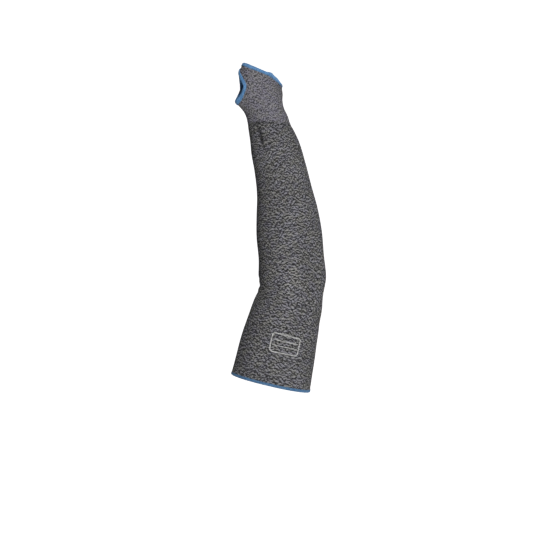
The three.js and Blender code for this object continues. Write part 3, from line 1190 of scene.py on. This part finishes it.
@dataclass
class Edging:
    """A wound edging that wraps the edge of a knit, in millimetres."""

    name: str
    node: str
    width: float
    wall: float
    place: Place
    finish: Material
    pitch: float = 1.05
    thread: float = 0.5
    side_gap: float = 0.3
    cover: float = 1.0
    sides: int = 6
    loop_points: int = 12
    start: float | None = None
    overlap: float = 0.13
    band_share: float = 0.35
    band_round: float = 0.5
    band_step: float = 1.3
    band_rim: float = 0.3
    band_shy: float = 0.1
    squareness: float = 0.72
    sway: float = 0.22
    unevenness: float = 0.07
    swell_out: float = 0.9
    swell_thick: float = 0.15
    stitch: float = 2.3
    stitch_points: int = 6
    needle_thread: float = 0.24
    needle_inset: float = 0.9
    needle_back: float = 0.85
    seed: int = 1
    made: list[Piece] = field(default_factory=list)

    def _arcs(self, back: float, out: float, steps: int) -> tuple[Array, Array]:
        """How long the edge is from its start.

        Args:
            back: how far behind the edge it is measured.
            out: how far over the skin.
            steps: how many steps to take round it.

        Returns:
            The angles of the steps, and the length up to each.
        """
        fine = np.linspace(0, TURN, steps + 1)
        path = self.place(fine, np.full_like(fine, back), np.full_like(fine, out))
        lengths = np.linalg.norm(np.diff(path, axis=0), axis=1)
        return fine, np.concatenate([[0], np.cumsum(lengths)])

    def _even(self, back: float, count: int) -> Array:
        """A number of angles that lie evenly along the edge, measured behind it."""
        fine, arc = self._arcs(back, self.wall, 2 * GIRTH_STEPS)
        return np.interp(np.arange(count) / count * arc[-1], arc, fine)

    def girth(self) -> float:
        """The length of the edge."""
        return float(self._arcs(self.width / 2, self.wall, GIRTH_STEPS)[1][-1])

    def _swell(self, angle: Array) -> Array:
        """How much thicker the winding is where its start and end overlap.

        Args:
            angle: angles along the edge.

        Returns:
            The swelling, from 0 to 1.
        """
        if self.start is None:
            return np.zeros_like(angle)
        apart = np.arctan2(np.sin(angle - self.start), np.cos(angle - self.start))
        return np.exp(-((apart / self.overlap) ** 4))

    def build(self) -> list[Piece]:
        """Builds the band under the thread, the wound thread and the needle thread."""
        self.made = [self._band(), self._winding(), self._needle_line()]
        return self.made

    def _band(self) -> Piece:
        """The dense threads underneath, as one closed band round the knit's edge."""
        over = self.side_gap + self.band_share * self.cover
        top, bottom = self.wall + over, -over
        rim, shy, soft = self.width - self.band_rim, self.band_shy, self.band_round
        flat = self.width - self.needle_inset
        profile = (
            (rim, self.wall + shy), (flat, top), (2 * soft, top),
            (0.75 * soft, top - soft), (0.6 * soft, self.wall / 2),
            (0.75 * soft, bottom + soft), (2 * soft, bottom), (flat, bottom),
            (rim, -shy), (self.cover, shy - self.side_gap),
            (self.cover, self.wall + self.side_gap - shy),
        )
        count = int(self.girth() / self.band_step)
        turn = self._even(0.0, count)
        rings = np.stack([self.place(turn, *np.full((2, count), [[b], [o]])) for b, o in profile])
        steps = np.linspace(0, self.girth(), count + 1)
        shares = np.arange(len(profile) + 1) / len(profile)
        uv = np.stack(np.meshgrid(shares, steps, indexing="ij"), -1)
        made = Meshes.ring_band(f"{self.name}_band", rings, {"Thread": uv}, closed=True)
        Meshes.point_outwards(made)
        return made

    def _winding(self) -> Piece:
        """The thread wound round the edge, one closed helix."""
        rng = np.random.default_rng(self.seed)
        loops = int(self.girth() / self.pitch)
        middle = self.wall / 2
        reach = middle + self.side_gap + self.cover - self.thread
        phase = np.arange(loops * self.loop_points) / self.loop_points
        angle = self._turn_on(phase, 0.0, loops)
        wobble = rng.normal(0, 1, (2, loops + 1))
        wobble[:, -1] = wobble[:, 0]
        sway, plump = (np.interp(phase, np.arange(loops + 1), row) for row in wobble)
        swell = self._swell(angle)
        across, up = (
            np.sign(wave) * np.abs(wave) ** self.squareness
            for wave in (np.cos(phase * TURN), np.sin(phase * TURN))
        )
        inner = self.width - self.thread + self.sway * sway
        outer = self.thread * 0.8 - swell
        back = outer + (inner - outer) * (1 - across) / 2
        path = self.place(angle, back, middle + up * (reach + self.swell_out * swell))
        radius = self.thread * (1 + self.unevenness * plump) * (1 + self.swell_thick * swell)
        return self._tube(f"{self.name}_winding", path, radius)

    def _turn_on(self, phase: Array, back: float, count: int) -> Array:
        """The angles of phases counted in loops, of which a count lies evenly on the edge."""
        starts = self._even(back, count)
        return np.interp(phase, np.arange(count + 1), np.append(starts, starts[0] + TURN))

    def _needle_line(self) -> Piece:
        """The needle thread along the winding's inner border, one closed line."""
        count = int(self.girth() / self.stitch)
        phase = np.arange(count * self.stitch_points) / self.stitch_points
        angle = self._turn_on(phase, self.width - self.needle_inset, count)
        dip = np.maximum(np.cos(phase * TURN), 0) ** 3
        out = self.wall + self.side_gap + 0.6 * self.cover - 0.2 * dip
        back = self.width - self.needle_back + 0.12 * np.sin(phase * TURN)
        path = self.place(angle, back, out + 0.8 * self._swell(angle))
        radius = np.full(len(path), self.needle_thread)
        return self._tube(f"{self.name}_needle_thread", path, radius)

    def _tube(self, name: str, path: Array, radius: Array) -> Piece:
        """A closed tube along a closed path.

        Args:
            name: the piece's name.
            path: points in millimetres.
            radius: the tube's radius at each point.

        Returns:
            The new object.
        """
        after, before = np.roll(path, -1, 0), np.roll(path, 1, 0)
        ahead = unit(after - before)
        side = unit(np.cross(ahead, after + before - 2 * path + NUDGE))
        flips = np.cumprod(np.where((side[1:] * side[:-1]).sum(1) < 0, -1.0, 1.0))
        side[1:] *= flips[:, None]
        third = np.cross(ahead, side)
        a = np.arange(self.sides) * TURN / self.sides
        ring = np.cos(a)[None, :, None] * side[:, None] + np.sin(a)[None, :, None] * third[:, None]
        rings = path[:, None] + ring * radius[:, None, None]
        lengths = np.linalg.norm(np.diff(path, axis=0, append=path[:1]), axis=1)
        along = np.concatenate([[0], np.cumsum(lengths)])
        around = np.linspace(0, 1, self.sides + 1)
        uv = np.stack(np.meshgrid(along, around, indexing="ij")[::-1], -1)
        made = Meshes.ring_band(name, rings, {"Thread": uv}, closed=True)
        Meshes.point_outwards(made)
        return made

    def dress(self) -> None:
        for piece in self.made:
            piece.data.materials.append(self.finish)
            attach(piece, ROOT)
        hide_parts(self.node)


@dataclass
class Studio:
    """The pale floor, the soft lights and the camera, in metres."""

    floor_level: float = -0.36
    floor_half: float = 6.0
    back_wall: float = 3.2
    wall_height: float = 5.0
    bend: float = 1.2
    bend_steps: int = 16
    paint: Colour = (0.8, 0.8, 0.8, 1.0)
    floor_roughness: float = 0.9
    air: float = 0.03
    aim: Spot = (0.0, 0.0, 0.22)
    lens: float = 74.57
    camera_place: Spot = (-0.00566, -1.6008, 0.1689)

    def build(self) -> None:
        """Builds all of it."""
        self._floor()
        self._world()
        self._lights()
        self._camera()

    def _floor(self) -> Piece:
        """A pale floor that curves up into a back wall."""
        turn = np.linspace(0, math.pi / 2, self.bend_steps + 1)
        bend = self.back_wall - self.bend * (1 - np.sin(turn)), self.bend * (1 - np.cos(turn))
        y = np.concatenate([[-self.floor_half], bend[0], [self.back_wall]])
        z = np.concatenate([[0.0], bend[1], [self.wall_height]]) + self.floor_level
        points = [(x, *p) for p in zip(y, z) for x in (-self.floor_half, self.floor_half)]
        faces = [(i, i + 1, i + 3, i + 2) for i in range(0, len(points) - 2, 2)]
        mesh = bpy.data.meshes.new("studio_floor")
        mesh.from_pydata(points, [], faces)
        floor = Meshes.link("studio_floor", mesh)
        made, graph = start_material("studio white")
        graph.fill(
            made.node_tree.nodes["Principled BSDF"],
            Base_Color=self.paint,
            Roughness=self.floor_roughness,
            Emission_Color=WHITE,
            Emission_Strength=self._seen(graph),
        )
        floor.data.materials.append(made)
        return floor

    @staticmethod
    def _seen(graph: Graph) -> Signal:
        """1 where the camera looks straight at the surface, and 0 for all other light."""
        return graph.out(graph.add("ShaderNodeLightPath"), "Is Camera Ray")

    def _world(self) -> None:
        """An even surrounding that shows white and lights weakly."""
        world = bpy.data.worlds.new("studio air")
        world.use_nodes = True
        graph = Graph(world.node_tree)
        glow = self._seen(graph) * (1.0 - self.air) + self.air
        graph.fill(world.node_tree.nodes["Background"], Color=WHITE, Strength=glow)
        bpy.context.scene.world = world

    def _lights(self) -> None:
        """A soft key light beside the camera, and weaker ones from the right and behind."""
        self._area("key light", (0.48, -1.77, 0.8), 0.4, 30.0)
        self._area("right light", (1.5, -0.2, 0.35), 0.8, 0.9)
        self._area("back light", (0.0, 1.5, 1.5), 0.8, 20.0)

    def _area(self, name: str, place: Spot, size: float, power: float) -> None:
        """Adds a square light that faces the sleeve.

        Args:
            name: the light's name.
            place: where it stands.
            size: the side of the square.
            power: its watts.
        """
        bpy.ops.object.light_add(type="AREA", location=place)
        light = bpy.context.object
        light.name = name
        light.data.size = size
        light.data.energy = power
        x, y, z = np.array(self.aim) - np.array(place)
        rise = math.atan2(z, math.hypot(x, y))
        light.rotation_euler = (math.pi / 2 + rise, 0, math.atan2(-x, y))

    def _camera(self) -> None:
        """The camera, level and looking along +Y."""
        bpy.ops.object.camera_add(location=self.camera_place, rotation=(math.pi / 2, 0, 0))
        camera = bpy.context.object
        camera.data.sensor_width = 36.0
        camera.data.lens = self.lens
        bpy.context.scene.camera = camera
        bpy.context.scene.view_settings.view_transform = "Standard"


def main() -> None:
    """Builds the sleeve's pieces in order."""
    logging.basicConfig(level=logging.INFO, format="%(name)s: %(message)s")
    form = SleeveForm()
    effects = Effects()
    Studio().build()
    tube = ArmTube(
        form, "arm_tube_knit", "arm_tube", Slot.KNIT_DARK, TUBE_KNIT,
        wales=156, course=1.3, around=220, rows=300, inner_rows=60,
        flat=(0.235, 0.374), panel=PrintPanel(),
    )
    cuff = HandCuff(
        form, "hand_cuff_knit", "hand_cuff", Slot.KNIT_LIGHT, CUFF_KNIT,
        wales=132, course=1.2, around=220, rows=96, inner_rows=30,
        flat=(0.155, 0.078),
    )
    for part in (tube, cuff):
        made = part.build()
        part.dress(made, effects)
        Meshes.report(made)
    thread = BLUE_THREAD.material(effects)
    # The arm's hem gets the blue thread darkened as painted shade.
    shaded_hem = SHADED_HEM_THREAD.material(effects)
    edgings = (
        Edging(
            "arm_edging", "arm_edging", 4.5, form.tube_wall,
            lambda t, back, out: form.over(back, t, out), shaded_hem, pitch=1.15,
            thread=0.45, side_gap=0.15, cover=0.85, seed=5,
        ),
        Edging(
            "hand_edging", "hand_edging", 5.2, form.cuff_wall,
            lambda t, back, out: form.over(
                form.hand_end(t) - back * form.edge_stretch(t), t, out
            ),
            thread, start=math.radians(320), seed=7,
        ),
        Edging(
            "thumb_edging", "thumb_edging", 4.8, form.cuff_wall,
            lambda t, back, out: form.hole_place(t, 1.0, back - 1.3, out), thread, seed=9,
        ),
    )
    for edging in edgings:
        for made in edging.build():
            Meshes.report(made)
        edging.dress()


if __name__ == "__main__":
    main()
